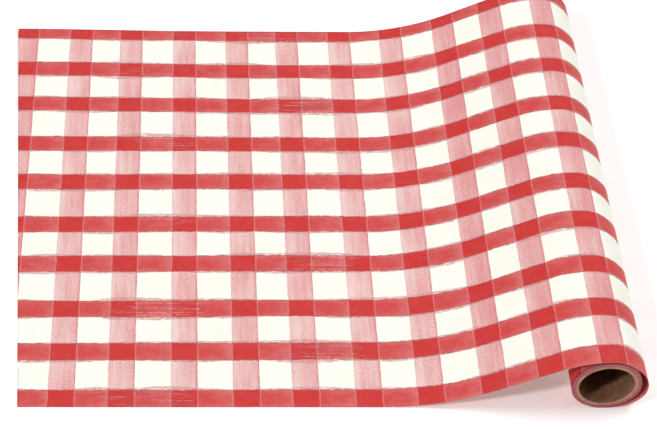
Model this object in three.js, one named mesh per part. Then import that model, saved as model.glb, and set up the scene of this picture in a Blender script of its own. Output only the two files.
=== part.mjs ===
// A paper table runner on its cardboard core, drawn part of the way off its roll.
// Millimetres. +X runs along the runner towards the roll, +Y across it, +Z up.
// The origin is on the table, under the middle of the whole object.

import * as THREE from "three";

const { cos, sin, PI } = Math;
const radians = THREE.MathUtils.degToRad;

// Paper web
const runnerWidth = 508;
const paperThickness = 0.1;

// Roll: a spiral-wound board core with the rest of the web wound tightly on it
const coreBore = 49.4;
const innerPlyWall = 0.8;
const outerPlyWall = 1.8;
const woundBuild = 3.2;
const fitGap = 0.3;

// Free length: from its cut end to the line where the paper leaves the table
const freeLength = 339;
const cutEndSkew = 30.6; // how much further out the far corner of the cut end is

// Rising length: a long bend up, a straight climb and a crest over the roll
const climbAngle = radians(28);
const liftRadius = 230;
const crestRadius = 85;

// Loose turn: the slack web round the roll, from the crest to underneath it
const crestGap = 2.3;
const slack = 6;
const slackStart = radians(40);
const slackEnd = radians(180);
const tailAngle = radians(198); // how far round from the crest the loose turn goes

// Facets
const tubeFacets = 96;
const bendSteps = 14;
const looseTurnSteps = 66;

// Radii, from the bore outwards
const innerPlyInside = coreBore / 2;
const innerPlyOutside = innerPlyInside + innerPlyWall;
const outerPlyInside = innerPlyOutside + fitGap;
const outerPlyOutside = outerPlyInside + outerPlyWall;
const woundInside = outerPlyOutside + fitGap;
const woundOutside = woundInside + woundBuild;

// The roll lies on its own loose turn, which lies on the table.
const halfPaper = paperThickness / 2;
const rollHeight = paperThickness + fitGap + woundOutside;
const crestHeight = rollHeight + woundOutside + crestGap + halfPaper;

// Lengths along X, measured from the line where the paper leaves the table
const bendRise = (liftRadius + crestRadius) * (1 - cos(climbAngle));
const climbLength = (crestHeight - halfPaper - bendRise) / sin(climbAngle);
const climbRun = climbLength * cos(climbAngle);
const rollFromLift = (liftRadius + crestRadius) * sin(climbAngle) + climbRun;

// Clear space between the wound roll and the middle of the loose turn's paper,
// at an angle that is 0 at the top of the roll and grows over its outer side.
function looseTurnRadius(angle) {
  const round = Math.min(angle, PI);
  const settle = (crestGap - fitGap) * (1 + cos(round)) / 2;
  const middle = (slackStart + slackEnd) / 2;
  const reach = (slackEnd - slackStart) / 2;
  const offMiddle = Math.min(Math.abs(angle - middle) / reach, 1);
  const sag = slack * (1 + cos(PI * offMiddle)) / 2;
  return woundOutside + fitGap + settle + sag + halfPaper;
}

// Middle line of the rising length, in the XZ plane, from the table to the crest
function risingLine() {
  const points = [];
  for (let i = 0; i <= bendSteps; i++) {
    const turned = climbAngle * i / bendSteps;
    const x = liftRadius * sin(turned);
    const z = halfPaper + liftRadius * (1 - cos(turned));
    points.push(new THREE.Vector2(x, z));
  }
  for (let i = 0; i <= bendSteps; i++) {
    const left = climbAngle * (1 - i / bendSteps);
    const x = rollFromLift - crestRadius * sin(left);
    const z = crestHeight - crestRadius * (1 - cos(left));
    points.push(new THREE.Vector2(x, z));
  }
  return points;
}

// Middle line of the loose turn, from the crest round and under the roll
function looseTurnLine() {
  const points = [];
  const startAngle = fitGap / woundOutside;
  for (let i = 0; i <= looseTurnSteps; i++) {
    const angle = startAngle + (tailAngle - startAngle) * i / looseTurnSteps;
    const radius = looseTurnRadius(angle);
    const x = rollFromLift + radius * sin(angle);
    const z = rollHeight + radius * cos(angle);
    points.push(new THREE.Vector2(x, z));
  }
  return points;
}

// Closed outline of a sheet of the paper's thickness about its middle line
function sheetOutline(line) {
  const upper = [];
  const lower = [];
  line.forEach((point, i) => {
    const before = line[Math.max(i - 1, 0)];
    const after = line[Math.min(i + 1, line.length - 1)];
    const along = after.clone().sub(before).normalize();
    const across = new THREE.Vector2(-along.y, along.x).multiplyScalar(halfPaper);
    upper.push(point.clone().add(across));
    lower.push(point.clone().sub(across));
  });
  return new THREE.Shape([...lower, ...upper.reverse()]);
}

// A sheet that keeps one section all across the runner
function bentSheet(line) {
  const outline = sheetOutline(line);
  const sheet = new THREE.ExtrudeGeometry(outline, { depth: runnerWidth, bevelEnabled: false });
  sheet.rotateX(PI / 2);
  sheet.translate(0, runnerWidth / 2, 0);
  return sheet;
}

// The flat sheet on the table, with its cut end a little out of square
function flatSheet() {
  const half = runnerWidth / 2;
  const outline = new THREE.Shape();
  outline.moveTo(-fitGap, -half);
  outline.lineTo(-fitGap, half);
  outline.lineTo(-freeLength - cutEndSkew / 2, half);
  outline.lineTo(-freeLength + cutEndSkew / 2, -half);
  outline.closePath();
  return new THREE.ExtrudeGeometry(outline, { depth: paperThickness, bevelEnabled: false });
}

// A tube across the whole width of the runner, about the Y axis
function tube(inside, outside) {
  const half = runnerWidth / 2;
  const section = [
    new THREE.Vector2(inside, -half),
    new THREE.Vector2(outside, -half),
    new THREE.Vector2(outside, half),
    new THREE.Vector2(inside, half),
    new THREE.Vector2(inside, -half),
  ];
  return new THREE.LatheGeometry(section, tubeFacets);
}

function finish(color, roughness) {
  return new THREE.MeshStandardMaterial({ color, roughness, metalness: 0 });
}

function part(name, geometry, material) {
  const mesh = new THREE.Mesh(geometry, material);
  mesh.name = name;
  return mesh;
}

const paintedPaper = finish(0xf0a3a3, 0.85);
const woundPaper = finish(0xb84a55, 0.85);
const linerBoard = finish(0x8a6a50, 0.95);
const coreBoard = finish(0xb08a6a, 0.95);

// The turning parts share the roll's axis.
const roll = new THREE.Group();
roll.add(part("core_inner_ply", tube(innerPlyInside, innerPlyOutside), linerBoard));
roll.add(part("core_outer_ply", tube(outerPlyInside, outerPlyOutside), coreBoard));
roll.add(part("wound_turns", tube(woundInside, woundOutside), woundPaper));
roll.position.set(rollFromLift, 0, rollHeight);

const runner = new THREE.Group();
runner.add(roll);
runner.add(part("loose_turn", bentSheet(looseTurnLine()), paintedPaper));
runner.add(part("rising_length", bentSheet(risingLine()), paintedPaper));
runner.add(part("free_length", flatSheet(), paintedPaper));

// Set the whole object square over the origin.
const whole = new THREE.Box3().setFromObject(runner, true);
runner.position.x = -(whole.min.x + whole.max.x) / 2;

const tableRunner = new THREE.Group();
tableRunner.add(runner);
export default tableRunner;
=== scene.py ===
import math

import bmesh
import bpy
from mathutils import Matrix, Vector, noise


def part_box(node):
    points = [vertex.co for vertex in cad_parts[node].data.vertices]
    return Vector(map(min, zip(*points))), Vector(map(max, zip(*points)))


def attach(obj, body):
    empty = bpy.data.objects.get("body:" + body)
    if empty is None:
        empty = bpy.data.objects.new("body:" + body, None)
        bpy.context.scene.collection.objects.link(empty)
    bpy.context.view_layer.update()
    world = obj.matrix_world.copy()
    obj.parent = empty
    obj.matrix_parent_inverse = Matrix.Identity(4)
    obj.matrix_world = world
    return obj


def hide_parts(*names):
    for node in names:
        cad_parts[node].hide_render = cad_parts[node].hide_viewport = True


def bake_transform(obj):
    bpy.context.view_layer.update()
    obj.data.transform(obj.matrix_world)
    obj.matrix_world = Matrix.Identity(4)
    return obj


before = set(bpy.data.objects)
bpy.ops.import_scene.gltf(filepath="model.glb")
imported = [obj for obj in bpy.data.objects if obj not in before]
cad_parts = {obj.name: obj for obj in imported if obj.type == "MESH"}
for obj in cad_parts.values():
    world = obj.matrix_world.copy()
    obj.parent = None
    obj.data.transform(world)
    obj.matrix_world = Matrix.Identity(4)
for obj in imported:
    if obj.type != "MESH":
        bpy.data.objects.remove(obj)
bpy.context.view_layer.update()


# camera

cameraSetup = {
    "place": (-0.11945, -1.22820, 1.30086),    # metres, in the part's own frame
    "downTilt": 47.055,      # degrees below the horizon
    "turn": -1.427,          # degrees about the vertical, from looking along +Y
    "lean": 1.176,           # degrees
    "lens": 98.822,
    "sensor": 36.0,
    "shiftX": 0.178,         # the framing sits to the right of the optical axis
    "nearest": 0.05,
    "farthest": 20,
}


def makeCamera(setup):
    data = bpy.data.cameras.new("runnerCamera")
    data.lens = setup["lens"]
    data.sensor_width = setup["sensor"]
    data.shift_x = setup["shiftX"]
    data.clip_start = setup["nearest"]
    data.clip_end = setup["farthest"]
    camera = bpy.data.objects.new("runnerCamera", data)
    bpy.context.scene.collection.objects.link(camera)
    tilt = Matrix.Rotation(math.radians(90 - setup["downTilt"]), 4, "X")
    lean = Matrix.Rotation(math.radians(setup["lean"]), 4, "Z")
    turn = Matrix.Rotation(math.radians(setup["turn"]), 4, "Z")
    camera.matrix_world = Matrix.Translation(setup["place"]) @ turn @ tilt @ lean
    bpy.context.scene.camera = camera


makeCamera(cameraSetup)
print("camera set")


# where the frame puts things

mm = 0.001

woundLow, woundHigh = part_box("wound_turns")
risingLow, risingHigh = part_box("rising_length")
freeLow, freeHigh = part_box("free_length")
linerLow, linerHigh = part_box("core_inner_ply")
boardLow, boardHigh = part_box("core_outer_ply")

rollAxis = Vector(((woundLow.x + woundHigh.x) / 2, 0, (woundLow.z + woundHigh.z) / 2))
woundRadius = (woundHigh.z - woundLow.z) / 2
halfWidth = (woundHigh.y - woundLow.y) / 2
liftX = risingLow.x      # where the paper leaves the table
cutEndX = freeLow.x      # the far corner of the cut end


# small helpers for shader trees

def tint(red, green, blue):
    # sRGB 0-255 to the linear values that sockets take
    linear = []
    for part in (red, green, blue):
        level = part / 255
        linear.append(level / 12.92 if level <= 0.04045 else ((level + 0.055) / 1.055) ** 2.4)
    return (*linear, 1.0)


def addNode(tree, kind, inputs=None, **settings):
    node = tree.nodes.new(kind)
    for name, value in settings.items():
        setattr(node, name, value)
    for name, value in (inputs or {}).items():
        setInput(tree, node.inputs[name], value)
    return node


def setInput(tree, socket, value):
    if isinstance(value, bpy.types.NodeSocket):
        tree.links.new(value, socket)
    else:
        socket.default_value = value


def calc(tree, operation, first, second=None, third=None):
    node = tree.nodes.new("ShaderNodeMath")
    node.operation = operation
    for index, value in enumerate((first, second, third)):
        if value is not None:
            setInput(tree, node.inputs[index], value)
    return node.outputs[0]


def ramp(tree, value, low, high, fromTo=(0.0, 1.0)):
    # a smooth step from low to high
    node = addNode(tree, "ShaderNodeMapRange", interpolation_type="SMOOTHSTEP")
    setInput(tree, node.inputs["Value"], value)
    setInput(tree, node.inputs["From Min"], low)
    setInput(tree, node.inputs["From Max"], high)
    setInput(tree, node.inputs["To Min"], fromTo[0])
    setInput(tree, node.inputs["To Max"], fromTo[1])
    return node.outputs["Result"]


def blendColor(tree, factor, first, second):
    node = tree.nodes.new("ShaderNodeMix")
    node.data_type = "RGBA"
    setInput(tree, node.inputs[0], factor)
    setInput(tree, node.inputs[6], first)
    setInput(tree, node.inputs[7], second)
    return node.outputs[2]


def stretch(tree, vector, factors, offset=(0.0, 0.0, 0.0)):
    node = tree.nodes.new("ShaderNodeMapping")
    setInput(tree, node.inputs["Vector"], vector)
    node.inputs["Scale"].default_value = factors
    node.inputs["Location"].default_value = offset
    return node.outputs["Vector"]


def cloud(tree, vector, scale=1.0, detail=2.0, roughness=0.5):
    node = tree.nodes.new("ShaderNodeTexNoise")
    setInput(tree, node.inputs["Vector"], vector)
    node.inputs["Scale"].default_value = scale
    node.inputs["Detail"].default_value = detail
    node.inputs["Roughness"].default_value = roughness
    return node.outputs["Fac"]


def newGroup(name, inputs, outputs):
    # a shader node group with named sockets; gives the tree, its inputs and its output node
    group = bpy.data.node_groups.new(name, "ShaderNodeTree")
    for label, kind, default in inputs:
        socket = group.interface.new_socket(name=label, in_out="INPUT", socket_type=kind)
        if default is not None:
            socket.default_value = default
    for label, kind in outputs:
        group.interface.new_socket(name=label, in_out="OUTPUT", socket_type=kind)
    return group, group.nodes.new("NodeGroupInput").outputs, group.nodes.new("NodeGroupOutput")


def useGroup(tree, group, inputs):
    node = tree.nodes.new("ShaderNodeGroup")
    node.node_tree = group
    for name, value in inputs.items():
        setInput(tree, node.inputs[name], value)
    return node.outputs


def newMaterial(name):
    material = bpy.data.materials.new(name)
    material.use_nodes = True
    tree = material.node_tree
    shader = next(node for node in tree.nodes if node.type == "BSDF_PRINCIPLED")
    return material, tree, shader


def readMap(tree, name):
    return addNode(tree, "ShaderNodeUVMap", uv_map=name).outputs["UV"]


def addBump(tree, shader, height, strength, depth):
    bump = addNode(tree, "ShaderNodeBump", {"Height": height, "Strength": strength, "Distance": depth})
    setInput(tree, shader.inputs["Normal"], bump.outputs["Normal"])


# paper and paint

checkPaint = {
    "paper": tint(243, 242, 232),
    "paperShade": tint(224, 217, 202),
    "washLight": tint(231, 206, 201),
    "washDeep": tint(214, 139, 139),
    "washRim": tint(184, 104, 112),
    "bandLight": tint(206, 98, 97),
    "bandDeep": tint(199, 67, 66),
    "crossing": tint(195, 46, 44),
    "paleLine": tint(208, 124, 124),
    "fringe": tint(199, 138, 138),
    "dryDark": tint(146, 92, 96),
    "dryLight": tint(216, 160, 154),
    "pitch": 55.0,           # mm from one band to the next, on average
    "bandShare": 0.44,       # the band's share of its pitch in the check map
    "margin": 0.28,          # share of the pitch that is counted on the near side of a band
    "washWander": 1.0,       # mm that the sides of a wash wander
    "bandWander": 2.4,       # mm that the sides of a band wander
    "bristles": 1.6,         # mm of bristle streaks in the sides of a band
    "ragged": 1.9,           # mm of fine raggedness in every painted side
    "washPools": 0.8,        # unevenness of a wash: pools, streaks and grains of pigment
    "washStreaks": 0.8,
    "washGrains": 2.2,
    "bandMottle": 1.7,       # unevenness of a band
    "bandGrains": 1.8,
    "firstDry": 2.8,         # where the brush runs dry on every other band, in washes from the cut end
    "laterDry": 2.4,         # how many washes later it does on the bands between
    "dryDarkLines": 0.80,
    "dryLightLines": 0.65,
    "dryFringe": 1.2,        # mm that the bristle marks reach further out where the brush is dry
    "fringeMarks": 0.8,
    "driedLine": 0.85,       # strength of the thin line where pigment dried along a band
}

grainShape = {
    "tooth": 1400,           # grains in a metre
    "fibre": (260, 900, 260),
    "blotch": 38,
    "roughness": (0.70, 0.86),
}


def makeGrainGroup(shape):
    # fibre and tooth of uncoated paper, from coordinates in metres
    group, given, result = newGroup(
        "paperGrain",
        [("Paper", "NodeSocketVector", None), ("Strength", "NodeSocketFloat", 1.0)],
        [("Tone", "NodeSocketFloat"), ("Height", "NodeSocketFloat"), ("Roughness", "NodeSocketFloat")],
    )
    paper = given["Paper"]
    tooth = cloud(group, paper, shape["tooth"], 3, 0.6)
    fibre = cloud(group, stretch(group, paper, shape["fibre"]), 1, 3, 0.65)
    blotch = cloud(group, paper, shape["blotch"], 3, 0.55)
    both = calc(group, "ADD", calc(group, "MULTIPLY", tooth, 0.5), calc(group, "MULTIPLY", fibre, 0.5))
    uneven = calc(group, "ADD", calc(group, "MULTIPLY", both, 0.5), calc(group, "MULTIPLY", blotch, 0.5))
    offMiddle = calc(group, "MULTIPLY", calc(group, "SUBTRACT", uneven, 0.5), given["Strength"])
    group.links.new(calc(group, "ADD", offMiddle, 0.5), result.inputs["Tone"])
    group.links.new(both, result.inputs["Height"])
    group.links.new(ramp(group, both, 0.3, 0.7, shape["roughness"]), result.inputs["Roughness"])
    return group


def makeBandGroup(paint):
    # how far inside a painted band a point lies, in mm, and its place across the band
    group, given, result = newGroup(
        "bandReach",
        [("Count", "NodeSocketFloat", 0.0)],
        [
            ("Inside", "NodeSocketFloat"),
            ("From Start", "NodeSocketFloat"),
            ("Side", "NodeSocketFloat"),
            ("Gap", "NodeSocketFloat"),
        ],
    )
    shifted = calc(group, "ADD", given["Count"], paint["margin"])
    place = calc(group, "SUBTRACT", calc(group, "FRACT", shifted), paint["margin"])
    fromEnd = calc(group, "SUBTRACT", paint["bandShare"], place)
    nearer = calc(group, "MINIMUM", place, fromEnd)
    group.links.new(calc(group, "MULTIPLY", nearer, paint["pitch"]), result.inputs["Inside"])
    group.links.new(calc(group, "MULTIPLY", place, paint["pitch"]), result.inputs["From Start"])
    group.links.new(calc(group, "DIVIDE", place, paint["bandShare"]), result.inputs["Side"])
    pastBand = calc(group, "FRACT", calc(group, "SUBTRACT", given["Count"], paint["bandShare"]))
    group.links.new(calc(group, "DIVIDE", pastBand, 1 - paint["bandShare"]), result.inputs["Gap"])
    return group


def makeCheckGroup(paint, bandGroup):
    # the hand-painted check: pink cross washes, red lengthwise bands, and their brush marks
    group, given, result = newGroup(
        "paintedCheck",
        [
            ("Check", "NodeSocketVector", None),
            ("Load", "NodeSocketVector", None),
            ("Paper", "NodeSocketVector", None),
            ("Tone", "NodeSocketFloat", 0.5),
        ],
        [("Color", "NodeSocketColor"), ("Paint", "NodeSocketFloat")],
    )
    check = addNode(group, "ShaderNodeSeparateXYZ", {"Vector": given["Check"]}).outputs
    load = addNode(group, "ShaderNodeSeparateXYZ", {"Vector": given["Load"]}).outputs
    paper = given["Paper"]
    crosswise = useGroup(group, bandGroup, {"Count": check["X"]})
    lengthwise = useGroup(group, bandGroup, {"Count": check["Y"]})

    def off(value, amount):
        return calc(group, "MULTIPLY", calc(group, "SUBTRACT", value, 0.5), amount)

    def total(*values):
        summed = values[0]
        for value in values[1:]:
            summed = calc(group, "ADD", summed, value)
        return summed

    def both(*values):
        product = values[0]
        for value in values[1:]:
            product = calc(group, "MULTIPLY", product, value)
        return product

    def brush(factors, detail=2.0, roughness=0.5, offset=(0.0, 0.0, 0.0)):
        # factors are how many marks to a metre, along the web and across it
        return cloud(group, stretch(group, paper, factors, offset), 1, detail, roughness)

    # how the brush wanders, in mm
    speckle = cloud(group, paper, 520, 2, 0.65)
    washReach = total(
        crosswise["Inside"],
        off(brush((20, 45, 1)), paint["washWander"]),
        off(speckle, paint["ragged"]),
    )
    bandReach = total(
        lengthwise["Inside"],
        off(brush((9, 30, 1), 1, 0.5, (3.1, 7.7, 0)), paint["bandWander"]),
        off(brush((90, 560, 1), 3, 0.65), paint["bristles"]),
        off(speckle, paint["ragged"]),
    )
    washMask = ramp(group, washReach, -0.30, 0.25)
    bandMask = ramp(group, bandReach, -0.35, 0.30)

    # pink wash: streaks along the brush, granules, and pigment pushed to its right-hand rim
    granules = cloud(group, paper, 620, 3, 0.8)
    streaks = brush((240, 15, 1), 2, 0.55, (0.4, 0.2, 0))
    pools = brush((30, 16, 1), 2, 0.5, (5.2, 1.4, 0))
    washTone = total(
        load["X"],
        off(pools, paint["washPools"]),
        off(streaks, paint["washStreaks"]),
        off(granules, paint["washGrains"]),
        ramp(group, crosswise["Side"], 0.0, 0.55, (-0.17, 0.05)),
        ramp(group, crosswise["Side"], 0.84, 1.0, (0.0, 0.22)),
    )
    wash = blendColor(group, ramp(group, washTone, -0.1, 1.1), paint["washLight"], paint["washDeep"])
    rimBand = both(ramp(group, washReach, 0.0, 0.3), ramp(group, washReach, 1.3, 0.5))
    rimPatch = ramp(group, brush((60, 90, 1), 3, 0.6), 0.34, 0.60)
    rimSide = ramp(group, crosswise["Side"], 0.3, 0.7, (0.30, 0.80))
    wash = blendColor(group, both(rimBand, rimPatch, rimSide), wash, paint["washRim"])

    # red band: deeper down its middle, mottled between the washes, full where they cross
    mottle = brush((60, 85, 1), 3, 0.6, (1.7, 0.9, 0))
    bandTone = total(
        load["Y"],
        off(mottle, paint["bandMottle"]),
        off(granules, paint["bandGrains"]),
        ramp(group, lengthwise["Inside"], 1.0, 7.0, (-0.24, 0.14)),
        ramp(group, crosswise["Gap"], 0.0, 0.9, (0.13, -0.08)),
    )
    band = blendColor(group, ramp(group, bandTone, -0.05, 1.05), paint["bandLight"], paint["bandDeep"])
    beforeWash = both(
        ramp(group, crosswise["From Start"], -12.0, -0.6),
        ramp(group, crosswise["From Start"], 1.5, 0.0),
    )
    fade = both(beforeWash, ramp(group, mottle, 0.25, 0.75, (0.45, 0.10)))
    band = blendColor(group, fade, band, paint["paleLine"])
    crossTone = ramp(group, total(granules, off(mottle, 0.6)), 0.34, 0.80, (0, 0.30))
    crossing = blendColor(group, crossTone, paint["crossing"], paint["bandLight"])
    band = blendColor(group, ramp(group, washReach, 0.1, 0.8), band, crossing)
    seam = ramp(group, calc(group, "ABSOLUTE", calc(group, "ADD", washReach, 0.25)), 0.95, 0.25)
    seamAmount = both(seam, ramp(group, speckle, 0.3, 0.6, (0.35, 0.8)))
    band = blendColor(group, seamAmount, band, paint["paleLine"])

    # dry brush: broken light and dark lines, early along every other band and later along those between
    bandNumber = calc(group, "FLOOR", calc(group, "ADD", check["Y"], paint["margin"]))
    oddBand = calc(group, "MODULO", bandNumber, 2.0)
    dryMiddle = calc(group, "MULTIPLY_ADD", oddBand, paint["laterDry"], paint["firstDry"])
    fromDry = calc(group, "ABSOLUTE", calc(group, "SUBTRACT", check["X"], dryMiddle))
    drier = ramp(group, fromDry, 0.3, 1.5, (0.14, -0.20))
    dryPatch = calc(group, "ADD", brush((5.5, 17, 1), 1, 0.5, (8.3, 2.2, 0)), drier)
    dryWhere = ramp(group, dryPatch, 0.48, 0.58)
    hairs = brush((13, 700, 1), 2, 0.6)
    broken = ramp(group, brush((200, 700, 1), 2, 0.6), 0.40, 0.56)
    lightLines = both(dryWhere, ramp(group, hairs, 0.57, 0.62), broken, paint["dryLightLines"])
    darkLines = both(dryWhere, ramp(group, hairs, 0.45, 0.40), broken, paint["dryDarkLines"])
    band = blendColor(group, darkLines, band, paint["dryDark"])
    band = blendColor(group, lightLines, band, paint["dryLight"])

    # ragged edge: bristle marks outside the band and a thin dark line where pigment dried
    spread = ramp(group, brush((16, 26, 1), 1, 0.5, (4.4, 9.1, 0)), 0.32, 0.70, (-0.4, -3.0))
    spread = calc(group, "SUBTRACT", spread, calc(group, "MULTIPLY", dryWhere, paint["dryFringe"]))
    outer = ramp(group, calc(group, "SUBTRACT", bandReach, spread), -0.5, 0.5)
    scatter = ramp(group, brush((130, 620, 1), 3, 0.75, (2.5, 0.3, 0)), 0.33, 0.53)
    fringe = both(outer, scatter, paint["fringeMarks"])
    driedWhere = ramp(group, brush((150, 90, 1), 3, 0.7, (6.6, 5.1, 0)), 0.40, 0.58)
    driedSide = both(ramp(group, bandReach, -0.95, -0.2), ramp(group, bandReach, 1.0, 0.3))
    dried = both(driedSide, driedWhere, paint["driedLine"])

    bareTone = ramp(group, given["Tone"], 0.42, 0.62, (0, 0.22))
    painted = blendColor(group, bareTone, paint["paper"], paint["paperShade"])
    painted = blendColor(group, washMask, painted, wash)
    painted = blendColor(group, fringe, painted, paint["fringe"])
    painted = blendColor(group, bandMask, painted, band)
    painted = blendColor(group, dried, painted, paint["dryDark"])
    group.links.new(painted, result.inputs["Color"])
    anyPaint = calc(group, "MAXIMUM", bandMask, calc(group, "MULTIPLY", washMask, 0.5))
    group.links.new(anyPaint, result.inputs["Paint"])
    return group


grainGroup = makeGrainGroup(grainShape)
bandGroup = makeBandGroup(checkPaint)
checkGroup = makeCheckGroup(checkPaint, bandGroup)

paperFinish = {
    "front": {"grain": 1.0, "relief": 0.35, "specular": 0.25},
    # the back's pink tint and its share of the check are partly painted light, for red light through and
    # under the paper
    "back": {"grain": 1.2, "relief": 0.40, "specular": 0.20, "checkShare": 0.80},
    "edge": {"grain": 1.5, "checkShare": 0.60},
    "backPaperAndPinkLight": tint(234, 196, 190),
    "edgeColor": tint(244, 236, 226),
    "paintRoughness": -0.12,      # what full paint adds to the roughness of the paper
    "reliefDepth": 0.00006,
}


def startPaper(name, finish):
    material, tree, shader = newMaterial(name)
    paper = readMap(tree, "paperMap")
    grain = useGroup(tree, grainGroup, {"Paper": paper, "Strength": finish["grain"]})
    check = useGroup(tree, checkGroup, {
        "Check": readMap(tree, "checkMap"),
        "Load": readMap(tree, "loadMap"),
        "Paper": paper,
        "Tone": grain["Tone"],
    })
    return material, tree, shader, grain, check


def paintedPaper():
    finish = paperFinish["front"]
    material, tree, shader, grain, check = startPaper("paintedPaper", finish)
    setInput(tree, shader.inputs["Base Color"], check["Color"])
    smoother = calc(tree, "MULTIPLY", check["Paint"], paperFinish["paintRoughness"])
    setInput(tree, shader.inputs["Roughness"], calc(tree, "ADD", grain["Roughness"], smoother))
    addBump(tree, shader, grain["Height"], finish["relief"], paperFinish["reliefDepth"])
    shader.inputs["Specular IOR Level"].default_value = finish["specular"]
    return material


def barePaperBack():
    # the unpainted underside: a pink tint mixed with the check, partly the paint showing through and partly
    # painted light for red light passing through and bouncing under the paper
    finish = paperFinish["back"]
    material, tree, shader, grain, check = startPaper("barePaperBack", finish)
    # painted light: the pink tint and the check stand in for red light through the paper and under it
    back = blendColor(tree, finish["checkShare"], paperFinish["backPaperAndPinkLight"], check["Color"])
    setInput(tree, shader.inputs["Base Color"], back)
    setInput(tree, shader.inputs["Roughness"], grain["Roughness"])
    addBump(tree, shader, grain["Height"], finish["relief"], paperFinish["reliefDepth"])
    shader.inputs["Specular IOR Level"].default_value = finish["specular"]
    return material


def paperCutEdge():
    finish = paperFinish["edge"]
    material, tree, shader, grain, check = startPaper("paperCutEdge", finish)
    edge = blendColor(tree, finish["checkShare"], paperFinish["edgeColor"], check["Color"])
    setInput(tree, shader.inputs["Base Color"], edge)
    setInput(tree, shader.inputs["Roughness"], grain["Roughness"])
    return material


# the path of the web, from its cut end to its tail under the roll

webShape = {
    "thickness": 0.12 * mm,
    "liftRadius": 230 * mm,
    "crestRadius": 85 * mm,
    "climbAngle": math.radians(28),
    "crestGap": 2.3 * mm,
    "tailGap": 0.3 * mm,
    "slack": 6 * mm,
    "slackStart": math.radians(40),
    "slackEnd": math.radians(180),
    "tailAngle": math.radians(198),
    "cutEndSkew": 30.6 * mm,
    "foldReach": 30 * mm,      # length of paper before the lift line that gets the finer bend step, so that it can take a fold
    "flatStep": 5 * mm,
    "bendStep": 2.2 * mm,
    "pathSteps": 80,           # points to each bend of the path
    "pathSpare": 20 * mm,      # how far the path runs on past the cut end
    "cutSpare": 2 * mm,        # paper past the cut end, trimmed by the skewed cut
    "tailTrim": 0.2 * mm,
    "slopeReach": 0.6 * mm,    # half the length over which the path's direction is taken
}

# distances between the starts of the cross washes, and of the lengthwise bands, as they were painted
washSpacing = {
    "first": -355.5 * mm,      # start of the wash at the cut end, from the line where the paper lifts
    "steps": [58.1, 53.9, 57.2, 56.4, 53.6, 57.0, 55.7, 57.5, 52.8, 56.0],
    "cycle": [53.9, 57.2, 56.4],
    "width": 24.3 * mm,
    # how full the brush was
    "loads": [0.60, 0.50, 0.52, 0.47, 0.50, 0.48, 0.46, 0.50, 0.65, 0.67, 0.67, 0.58],
}
bandSpacing = {
    "first": -254.0 * mm,      # start of the band along the near edge
    "steps": [54.6, 51.5, 56.2, 51.4, 57.4, 53.3, 57.6, 52.9, 57.5],
    "cycle": [55.0],
    "width": 19.9 * mm,
    "loads": [0.55, 0.50, 0.60, 0.45, 0.55, 0.50, 0.60, 0.52, 0.58, 0.50],
}


def looseTurnReach(angle, shape):
    # distance of the paper's underside from the roll's axis, round the slack turn
    rounded = min(angle, math.pi)
    settle = (shape["crestGap"] - shape["tailGap"]) * (1 + math.cos(rounded)) / 2
    middle = (shape["slackStart"] + shape["slackEnd"]) / 2
    reach = (shape["slackEnd"] - shape["slackStart"]) / 2
    offMiddle = min(abs(angle - middle) / reach, 1)
    sag = shape["slack"] * (1 + math.cos(math.pi * offMiddle)) / 2
    return woundRadius + shape["tailGap"] + settle + sag


def tracePath(shape):
    # lengths from the lift line, and the points there along the underside of the web
    climb = shape["climbAngle"]
    lift = shape["liftRadius"]
    crest = shape["crestRadius"]
    crestZ = rollAxis.z + woundRadius + shape["crestGap"]
    points = [(cutEndX - shape["pathSpare"], 0), (liftX, 0)]
    steps = shape["pathSteps"]
    for i in range(1, steps + 1):
        turned = climb * i / steps
        points.append((liftX + lift * math.sin(turned), lift * (1 - math.cos(turned))))
    for i in range(steps + 1):
        left = climb * (1 - i / steps)
        points.append((rollAxis.x - crest * math.sin(left), crestZ - crest * (1 - math.cos(left))))
    for i in range(1, 2 * steps + 1):
        angle = shape["tailAngle"] * i / (2 * steps)
        reach = looseTurnReach(angle, shape)
        points.append((rollAxis.x + reach * math.sin(angle), rollAxis.z + reach * math.cos(angle)))
    points = [Vector((x, 0, z)) for x, z in points]
    lengths = [points[0].x - liftX]
    for before, after in zip(points, points[1:]):
        lengths.append(lengths[-1] + (after - before).length)
    return list(zip(lengths, points))


webPath = tracePath(webShape)
webLengths = [length for length, point in webPath]
crestLength = max(webPath, key=lambda spot: spot[1].z)[0]


def pointAt(length):
    low, high = 0, len(webLengths) - 1
    while high - low > 1:
        middle = (low + high) // 2
        if webLengths[middle] <= length:
            low = middle
        else:
            high = middle
    (startLength, start), (endLength, end) = webPath[low], webPath[high]
    share = (length - startLength) / (endLength - startLength)
    return start.lerp(end, share)


def normalAt(length):
    reach = webShape["slopeReach"]
    ahead = pointAt(length + reach) - pointAt(length - reach)
    ahead.normalize()
    return Vector((-ahead.z, 0, ahead.x))


def bandEdges(spacing, end):
    start = spacing["first"]
    steps, cycle = spacing["steps"], spacing["cycle"]
    count = 0
    pairs = []
    while start < end:
        pairs.append((start, float(count)))
        pairs.append((start + spacing["width"], count + checkPaint["bandShare"]))
        step = steps[count] if count < len(steps) else cycle[count % len(cycle)]
        start += step * mm
        count += 1
    pairs.append((start, float(count)))
    return pairs


def countAt(pairs, length):
    # reads the check map's count at a length, by straight lines between the band edges
    pitch = checkPaint["pitch"] * mm
    if length <= pairs[0][0]:
        return pairs[0][1] + (length - pairs[0][0]) / pitch
    for (startLength, startCount), (endLength, endCount) in zip(pairs, pairs[1:]):
        if length <= endLength:
            share = (length - startLength) / (endLength - startLength)
            return startCount + share * (endCount - startCount)
    return pairs[-1][1] + (length - pairs[-1][0]) / pitch


def loadAt(loads, count):
    # how full the brush was for the band nearest to a count
    nearest = int(math.floor(count + checkPaint["margin"]))
    return loads[nearest % len(loads)]


rollTurn = 2 * math.pi * woundRadius
spareLength = 100 * mm
washEdges = bandEdges(washSpacing, webLengths[-1] + rollTurn + spareLength)
bandRows = bandEdges(bandSpacing, halfWidth)


# helpers for the pieces

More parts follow.
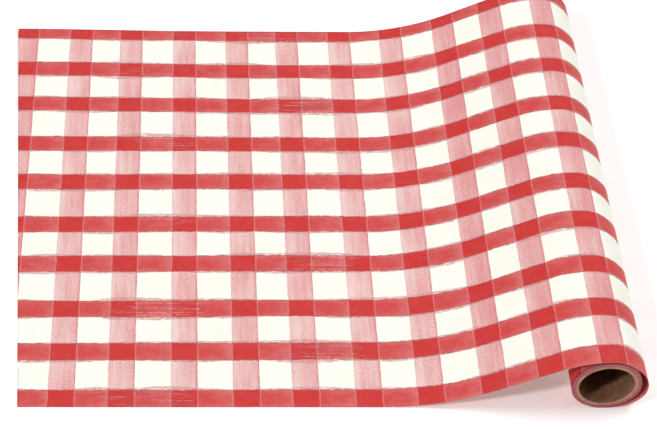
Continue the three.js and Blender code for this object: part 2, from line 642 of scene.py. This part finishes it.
def gridLines(low, high, step, edges, finer=None):
    # even lines from low to high, with one on every painted edge between; finer is (from where, its step)
    marks = sorted({low, high, *(length for length, count in edges if low < length < high)})
    if finer:
        marks = sorted({*marks, finer[0]})
    lines = [marks[0]]
    for before, after in zip(marks, marks[1:]):
        size = finer[1] if finer and before >= finer[0] else step
        pieces = max(1, math.ceil((after - before) / size))
        for i in range(1, pieces + 1):
            lines.append(before + (after - before) * i / pieces)
    return lines


def addMaps(mesh):
    return [mesh.loops.layers.uv.new(name) for name in ("checkMap", "paperMap", "loadMap")]


def linkPiece(name, data):
    piece = bpy.data.objects.new(name, data)
    bpy.context.scene.collection.objects.link(piece)
    return piece


def makePiece(name, mesh, materials):
    data = bpy.data.meshes.new(name)
    mesh.to_mesh(data)
    mesh.free()
    for material in materials:
        data.materials.append(material)
    return linkPiece(name, data)


def applyModifiers(piece):
    depsgraph = bpy.context.evaluated_depsgraph_get()
    baked = bpy.data.meshes.new_from_object(piece.evaluated_get(depsgraph))
    piece.modifiers.clear()
    piece.data = baked


def smoothStep(value, low, high):
    # from 0 at low to 1 at high
    part = min(max((value - low) / (high - low), 0.0), 1.0)
    return part * part * (3 - 2 * part)


# the sheet: flat length, rise and slack turn

# spans of length are taken from the lift line, and spans of width from the web's middle
restShape = {
    "ripple": 0.16 * mm,       # how much the flat paper still waves after being wound
    "rippleFade": 40 * mm,     # before the lift line
    "cornerCurl": 3.0 * mm,    # how far the far corner of the cut end stands up
    "curlLength": (-110 * mm, -370 * mm),
    "curlWidth": (20 * mm, 260 * mm),
    "farSettle": 2.0 * mm,     # how much closer the slack turn lies to the roll at its far end
    "settleRise": (20 * mm, 190 * mm),
    "settleFall": 60 * mm,     # past the crest
    "settleWidth": (-60 * mm, 230 * mm),
}

# how far the lengthwise bands wander towards the near edge
driftShape = {
    "fade": (215 * mm, 254 * mm),     # none at the paper's own edges
    "crest": {"reach": 4.0 * mm, "length": (110 * mm, 235 * mm), "width": (-190 * mm, 120 * mm)},
    "middle": {"reach": 1.2 * mm, "length": (-200 * mm, -90 * mm), "width": (40 * mm, 160 * mm)},
    "cutEnd": {"reach": 1.3 * mm, "length": (-240 * mm, -30 * mm), "width": (-60 * mm, 120 * mm)},
}


def sheetLift(length, y):
    # what is left of the roll's curl in the flat paper
    shape = restShape
    wave = noise.noise(Vector((length * 9, y * 5, 0.7)))        # waves to a metre, along and across
    fine = noise.noise(Vector((length * 26, y * 14, 3.1)))
    corner = smoothStep(length, *shape["curlLength"]) * smoothStep(y, *shape["curlWidth"])
    onTable = max(0.0, min(1.0, (shape["rippleFade"] - length) / shape["rippleFade"]))
    raised = shape["ripple"] * max(0.0, 1.0 + 1.4 * wave + 0.5 * fine) + shape["cornerCurl"] * corner
    return raised * onTable


def sheetSettle(length, y):
    # how far the slack turn sinks onto the roll towards the far edge
    shape = restShape
    rising = smoothStep(length, *shape["settleRise"])
    falling = 1 - smoothStep(length, crestLength, crestLength + shape["settleFall"])
    return shape["farSettle"] * rising * falling * smoothStep(y, *shape["settleWidth"])


def bandDrift(length, y):
    crest, middle, cutEnd = driftShape["crest"], driftShape["middle"], driftShape["cutEnd"]
    drift = crest["reach"] * smoothStep(length, *crest["length"]) * smoothStep(y, *crest["width"])
    drift += middle["reach"] * smoothStep(length, *middle["length"]) * smoothStep(y, *middle["width"])
    beforeEnd = 1 - smoothStep(length, *cutEnd["length"])
    drift += cutEnd["reach"] * beforeEnd * (1 - smoothStep(y, *cutEnd["width"]))
    return drift * (1 - smoothStep(abs(y), *driftShape["fade"]))


def cutSkewedEnd(mesh, skew):
    # the cut end runs a little out of square
    near = Vector((cutEndX + skew, -halfWidth, 0))
    far = Vector((cutEndX, halfWidth, 0))
    run = (far - near).normalized()
    outward = Vector((-run.y, run.x, 0))
    everything = mesh.verts[:] + mesh.edges[:] + mesh.faces[:]
    bmesh.ops.bisect_plane(mesh, geom=everything, plane_co=near, plane_no=outward, clear_outer=True)


def makeSheet(shape):
    low = cutEndX - liftX - shape["cutSpare"]
    high = webLengths[-1] - shape["tailTrim"]
    lengths = gridLines(low, high, shape["flatStep"], washEdges, (-shape["foldReach"], shape["bendStep"]))
    widths = gridLines(-halfWidth, halfWidth, shape["flatStep"], bandRows)
    washCount = [countAt(washEdges, length) for length in lengths]
    bandCount = [countAt(bandRows, y) for y in widths]
    mesh = bmesh.new()
    checkMap, paperMap, loadMap = addMaps(mesh)
    rows = []
    for length in lengths:
        base = pointAt(length)
        normal = normalAt(length)
        line = []
        for y in widths:
            raised = shape["thickness"] + sheetLift(length, y) - sheetSettle(length, y)
            line.append(mesh.verts.new(base + normal * raised + Vector((0, y - bandDrift(length, y), 0))))
        rows.append(line)
    for i in range(len(lengths) - 1):
        washLoad = loadAt(washSpacing["loads"], (washCount[i] + washCount[i + 1]) / 2)
        for j in range(len(widths) - 1):
            bandLoad = loadAt(bandSpacing["loads"], (bandCount[j] + bandCount[j + 1]) / 2)
            corners = ((i, j), (i + 1, j), (i + 1, j + 1), (i, j + 1))
            face = mesh.faces.new([rows[a][b] for a, b in corners])
            face.smooth = True
            for loop, (a, b) in zip(face.loops, corners):
                loop[checkMap].uv = (washCount[a], bandCount[b])
                loop[paperMap].uv = (lengths[a], loop.vert.co.y)
                loop[loadMap].uv = (washLoad, bandLoad)
    cutSkewedEnd(mesh, shape["cutEndSkew"])
    sheet = makePiece("runner_sheet", mesh, (paintedPaper(), barePaperBack(), paperCutEdge()))
    shell = sheet.modifiers.new("paperThickness", "SOLIDIFY")
    shell.thickness = shape["thickness"]
    shell.offset = -1
    shell.material_offset = 1
    shell.material_offset_rim = 2
    applyModifiers(sheet)
    return sheet


sheet = makeSheet(webShape)
print("sheet made:", len(sheet.data.vertices), "points")


# the wound web and the core's outer wall: tubes whose ends show their layers

tubeFacets = 160
tubeWidths = gridLines(-halfWidth, halfWidth, 12 * mm, bandRows)

woundShape = {
    "inside": 27.62 * mm,
    "outside": woundRadius,
    "layers": 30,              # those that show at the ends
    "shift": 0.34 * mm,        # how far a layer's edge stands in or out
    "groove": 0.16 * mm,
    "seed": 2.3,
    "turnStart": webLengths[-1] + 8 * mm,     # where the check carries on round the roll
}
boardShape = {
    "inside": 25.52 * mm,
    "outside": 27.62 * mm,
    "layers": 4,
    "shift": 0.12 * mm,
    "groove": 0.08 * mm,
    "seed": 7.1,
    "turnStart": 0.0,
}


def layerEnds(shape):
    # radial profile of a layered end: radii, each with how far the edge stands in at an angle
    pitch = (shape["outside"] - shape["inside"]) / shape["layers"]
    lip = pitch * 0.10         # each layer's corner, which slopes into the groove
    profile = []
    for k in range(shape["layers"]):
        low = shape["inside"] + k * pitch
        high = low + pitch

        def inset(angle, k=k):
            slow = Vector((math.cos(angle) * 1.6, math.sin(angle) * 1.6, k * 0.83 + shape["seed"]))
            fine = Vector((math.cos(angle) * 9, math.sin(angle) * 9, k * 2.1 + shape["seed"]))
            return shape["shift"] * max(0.0, 0.55 + 0.9 * noise.noise(slow) + 0.35 * noise.noise(fine))

        def pit(angle, inset=inset):
            return inset(angle) + shape["groove"]

        profile.append((low + lip, inset))
        profile.append((high - lip, inset))
        if k < shape["layers"] - 1:
            profile.append((high, pit))
    return profile


def makeLayeredTube(name, shape, materials):
    # a closed tube about the roll's axis, with materials for its skin, its ends and its lining
    mesh = bmesh.new()
    checkMap, paperMap, loadMap = addMaps(mesh)
    profile = layerEnds(shape)
    rings = [(radius, -1, inset, None) for radius, inset in profile]
    rings += [(shape["outside"], 0, None, y) for y in tubeWidths[1:-1]]
    rings += [(radius, 1, inset, None) for radius, inset in reversed(profile)]
    angles = [2 * math.pi * i / tubeFacets for i in range(tubeFacets + 1)]
    verts = []
    for radius, side, inset, y in rings:
        ring = []
        for angle in angles[:-1]:
            place = side * (halfWidth - inset(angle)) if inset else y
            ring.append(mesh.verts.new((math.sin(angle) * radius, place, math.cos(angle) * radius)))
        verts.append(ring)
    skinStart = len(profile) - 1
    skinEnd = skinStart + len(tubeWidths) - 1
    for r in range(len(rings)):
        nextR = (r + 1) % len(rings)
        if skinStart <= r < skinEnd:
            slotIndex = 0
        elif nextR == 0:
            slotIndex = 2
        else:
            slotIndex = 1
        for i in range(tubeFacets):
            j = (i + 1) % tubeFacets
            face = mesh.faces.new((verts[r][i], verts[nextR][i], verts[nextR][j], verts[r][j]))
            face.smooth = slotIndex != 1
            face.material_index = slotIndex
            for loop, step in zip(face.loops, (i, i, i + 1, i + 1)):
                length = shape["turnStart"] + angles[step] * shape["outside"]
                y = loop.vert.co.y
                loop[checkMap].uv = (countAt(washEdges, length), countAt(bandRows, y))
                loop[paperMap].uv = (length, y)
                loop[loadMap].uv = (0.6, 0.5)      # a usual load for the hidden turns
    bmesh.ops.recalc_face_normals(mesh, faces=mesh.faces[:])
    tube = makePiece(name, mesh, materials)
    tube.location = rollAxis
    return tube


boardTone = {
    "core": (tint(208, 154, 126), tint(160, 112, 90)),
    # the liner's own darker tone, lowered further as painted shade for the deep bore
    "liner": (tint(147, 104, 79), tint(108, 73, 55)),
    "linerEdge": (tint(186, 158, 138), tint(142, 114, 96)),
    "speck": tint(108, 80, 62),
    "relief": 0.6,
    "reliefDepth": 0.0002,
    "specular": 0.2,
}


def makeBoardGroup(tone):
    # grey-brown fibre board: long fibres, specks and slow changes of tone
    group, given, result = newGroup(
        "boardFibre",
        [
            ("Place", "NodeSocketVector", None),
            ("Light", "NodeSocketColor", tone["core"][0]),
            ("Dark", "NodeSocketColor", tone["core"][1]),
        ],
        [("Color", "NodeSocketColor"), ("Height", "NodeSocketFloat"), ("Roughness", "NodeSocketFloat")],
    )
    place = given["Place"]
    fibre = cloud(group, stretch(group, place, (620, 330, 620)), 1, 4, 0.7)
    speck = cloud(group, place, 1500, 2, 0.7)
    slow = cloud(group, place, 90, 4, 0.6)
    mixed = calc(group, "ADD", calc(group, "MULTIPLY", fibre, 0.5), calc(group, "MULTIPLY", slow, 0.5))
    color = blendColor(group, ramp(group, mixed, 0.33, 0.67), given["Dark"], given["Light"])
    color = blendColor(group, ramp(group, speck, 0.62, 0.74, (0, 0.35)), color, tone["speck"])
    height = calc(group, "ADD", calc(group, "MULTIPLY", fibre, 0.6), calc(group, "MULTIPLY", speck, 0.4))
    group.links.new(color, result.inputs["Color"])
    group.links.new(height, result.inputs["Height"])
    group.links.new(ramp(group, fibre, 0.3, 0.7, (0.82, 0.95)), result.inputs["Roughness"])
    return group


boardGroup = makeBoardGroup(boardTone)


def boardMaterial(name, colors):
    material, tree, shader = newMaterial(name)
    place = addNode(tree, "ShaderNodeTexCoord").outputs["Object"]
    board = useGroup(tree, boardGroup, {"Place": place, "Light": colors[0], "Dark": colors[1]})
    setInput(tree, shader.inputs["Base Color"], board["Color"])
    setInput(tree, shader.inputs["Roughness"], board["Roughness"])
    addBump(tree, shader, board["Height"], boardTone["relief"], boardTone["reliefDepth"])
    shader.inputs["Specular IOR Level"].default_value = boardTone["specular"]
    return material


webEdgeTone = {
    "deep": tint(166, 78, 88),
    "pale": tint(214, 128, 134),
    "slow": tint(186, 98, 116),
    "fleck": tint(240, 208, 204),
    "relief": 0.6,
    "reliefDepth": 0.0002,
    "specular": 0.2,
}


def webEdgeMaterial(tone):
    # the edges of the wound turns: pink from the paint of every turn, with flecks of bare paper
    material, tree, shader = newMaterial("woundEdges")
    place = addNode(tree, "ShaderNodeTexCoord").outputs["Object"]
    parts = addNode(tree, "ShaderNodeSeparateXYZ", {"Vector": place}).outputs
    angle = calc(tree, "ARCTAN2", parts["X"], parts["Z"])
    squares = [calc(tree, "POWER", parts[name], 2.0) for name in ("X", "Z")]
    radius = calc(tree, "SQRT", calc(tree, "ADD", *squares))
    swept = addNode(tree, "ShaderNodeCombineXYZ", {"X": angle, "Y": radius, "Z": 0.0}).outputs["Vector"]
    turns = cloud(tree, stretch(tree, swept, (2.2, 5200, 1)), 1, 3, 0.6)
    flecks = cloud(tree, stretch(tree, swept, (26, 3600, 1)), 1, 3, 0.65)
    slow = cloud(tree, stretch(tree, swept, (1.6, 500, 1)), 1, 2)
    color = blendColor(tree, ramp(tree, turns, 0.36, 0.64), tone["deep"], tone["pale"])
    color = blendColor(tree, ramp(tree, slow, 0.35, 0.7, (0, 0.4)), color, tone["slow"])
    color = blendColor(tree, ramp(tree, flecks, 0.54, 0.66, (0, 0.85)), color, tone["fleck"])
    setInput(tree, shader.inputs["Base Color"], color)
    setInput(tree, shader.inputs["Roughness"], ramp(tree, flecks, 0.3, 0.7, (0.75, 0.9)))
    addBump(tree, shader, turns, tone["relief"], tone["reliefDepth"])
    shader.inputs["Specular IOR Level"].default_value = tone["specular"]
    return material


paintedSide, bareSide = sheet.data.materials[0], sheet.data.materials[1]
wound = makeLayeredTube("wound_web", woundShape, (paintedSide, webEdgeMaterial(webEdgeTone), bareSide))
print("wound web made:", len(wound.data.vertices), "points")

coreBoard = boardMaterial("coreBoard", boardTone["core"])
board = makeLayeredTube("core_tube", boardShape, (coreBoard, coreBoard, coreBoard))


# the core's inner ply

linerShape = {
    "inside": (linerHigh.z - linerLow.z) / 2 - 0.8 * mm,     # less the wall of the ply
    "outside": 25.50 * mm,
    "lead": 82 * mm,           # how far the seam of the spiral ply moves along in one turn
    "seamWidth": 0.9 * mm,
    "seamDepth": 0.28 * mm,
    "seamSlope": 2.2,          # where the seam's sides start, in halves of its width
    "uneven": 0.05 * mm,
    "endRagged": 0.22 * mm,
    "endOpening": 0.12 * mm,   # how much wider the bore is at its very ends
    "columns": 72,
    "rows": 150,
}


def makeLiner(shape):
    # the inner ply, a strip wound in a helix, with the narrow open seam between its turns
    half = shape["seamWidth"] / 2 / shape["inside"]
    side = half * shape["seamSlope"]
    angles = [-side, -half, half, side]
    for i in range(1, shape["columns"]):
        angles.append(side + (2 * math.pi - side * 2) * i / shape["columns"])
    mesh = bmesh.new()
    rings = []
    for r in range(shape["rows"] + 1):
        y = -halfWidth + 2 * halfWidth * r / shape["rows"]
        twist = 2 * math.pi * y / shape["lead"]
        atEnd = r in (0, shape["rows"])
        inward = 1 if r == 0 else -1
        inner, outer = [], []
        for index, angle in enumerate(angles):
            sine, cosine = math.sin(angle + twist), math.cos(angle + twist)
            radius = shape["inside"] + shape["uneven"] * noise.noise(Vector((cosine * 3, sine * 3, y * 30)))
            if index in (1, 2):
                radius += shape["seamDepth"]
            place = y
            if atEnd:
                radius += shape["endOpening"]
                ragged = 0.5 + noise.noise(Vector((cosine * 11, sine * 11, r)))
                place += inward * shape["endRagged"] * max(ragged, 0.0)
            inner.append(mesh.verts.new((sine * radius, place, cosine * radius)))
            outer.append(mesh.verts.new((sine * shape["outside"], place, cosine * shape["outside"])))
        rings.append((inner, outer))
    neighbours = [(i, (i + 1) % len(angles)) for i in range(len(angles))]
    for (innerA, outerA), (innerB, outerB) in zip(rings, rings[1:]):
        for i, j in neighbours:
            mesh.faces.new((innerA[i], innerA[j], innerB[j], innerB[i]))
            mesh.faces.new((outerA[i], outerB[i], outerB[j], outerA[j]))
    for inner, outer in (rings[0], rings[-1]):
        for i, j in neighbours:
            mesh.faces.new((inner[i], inner[j], outer[j], outer[i])).material_index = 1
    for face in mesh.faces:
        face.smooth = True
    bmesh.ops.recalc_face_normals(mesh, faces=mesh.faces[:])
    # the bore's colour is the liner's tone with painted shade in it
    bore = boardMaterial("coreLinerBoard", boardTone["liner"])
    rim = boardMaterial("coreLinerEdge", boardTone["linerEdge"])
    liner = makePiece("core_liner", mesh, (bore, rim))
    liner.location = rollAxis
    return liner


liner = makeLiner(linerShape)
print("core made:", round((boardHigh.z - boardLow.z) / mm, 1), "mm across")


# what rides on what

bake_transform(sheet)
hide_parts("free_length", "rising_length", "loose_turn")

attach(wound, "roll")
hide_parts("wound_turns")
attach(board, "roll")
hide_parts("core_outer_ply")
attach(liner, "roll")
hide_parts("core_inner_ply")


# floor and light

floorSetup = {
    "size": 16.0,
    "below": 0.02 * mm,      # how far it lies under the paper
    "color": tint(246, 246, 245),
    "shade": tint(242, 242, 241),
    "roughness": 0.9,
    "specular": 0.1,
    "glow": 0.22,
    "pinkShadeGlow": (1.0, 0.82, 0.80, 1.0),    # painted light: a pink glow that shows only in the floor's shade, as if lit through and off the pink paper
}


def makeFloor(setup):
    half = setup["size"] / 2
    corners = [(-half, -half, 0), (half, -half, 0), (half, half, 0), (-half, half, 0)]
    data = bpy.data.meshes.new("studioFloor")
    data.from_pydata(corners, [], [(0, 1, 2, 3)])
    floor = linkPiece("studio_floor", data)
    floor.location.z = -setup["below"]
    material, tree, shader = newMaterial("studioFloor")
    place = addNode(tree, "ShaderNodeTexCoord").outputs["Object"]
    tone = cloud(tree, place, 3.0, 2)
    color = blendColor(tree, ramp(tree, tone, 0.3, 0.7), setup["color"], setup["shade"])
    setInput(tree, shader.inputs["Base Color"], color)
    # the floor's glow is pink: painted light that tints its shade
    shader.inputs["Emission Color"].default_value = setup["pinkShadeGlow"]
    shader.inputs["Emission Strength"].default_value = setup["glow"]
    shader.inputs["Roughness"].default_value = setup["roughness"]
    shader.inputs["Specular IOR Level"].default_value = setup["specular"]
    data.materials.append(material)


lightSetup = {
    "sky": 0.52,
    "skyFront": 0.12,        # the room is darker low down in front of the table
    "frontFade": (-0.10, -0.62),
    "backdrop": 1.0,         # the plain pale backdrop behind everything
    "suns": [
        {"name": "sidePanel", "toward": (1.00, 0.42, 2.15), "wide": 26.0, "strength": 1.62},
        {"name": "frontPanel", "toward": (-1.50, -0.95, 1.62), "wide": 6.5, "strength": 1.36},
    ],
}


def makeLight(setup):
    world = bpy.data.worlds.new("softStudio")
    bpy.context.scene.world = world
    world.use_nodes = True
    tree = world.node_tree
    toward = addNode(tree, "ShaderNodeTexCoord").outputs["Generated"]
    depth = addNode(tree, "ShaderNodeSeparateXYZ", {"Vector": toward}).outputs["Y"]
    strength = ramp(tree, depth, *setup["frontFade"], (setup["sky"], setup["skyFront"]))
    seen = tree.nodes.new("ShaderNodeLightPath").outputs["Is Camera Ray"]
    shown = calc(tree, "MULTIPLY", seen, setup["backdrop"])
    setInput(tree, tree.nodes["Background"].inputs["Strength"], calc(tree, "MAXIMUM", strength, shown))
    tree.nodes["Background"].inputs["Color"].default_value = (1, 1, 1, 1)
    for sun in setup["suns"]:
        data = bpy.data.lights.new(sun["name"], "SUN")
        data.angle = math.radians(sun["wide"])
        data.energy = sun["strength"]
        lamp = bpy.data.objects.new(sun["name"], data)
        bpy.context.scene.collection.objects.link(lamp)
        lamp.location = sun["toward"]
        lamp.rotation_euler = (-lamp.location).to_track_quat("-Z", "Y").to_euler()


makeFloor(floorSetup)
makeLight(lightSetup)
bpy.context.scene.view_settings.view_transform = "Standard"
print("floor and light set")
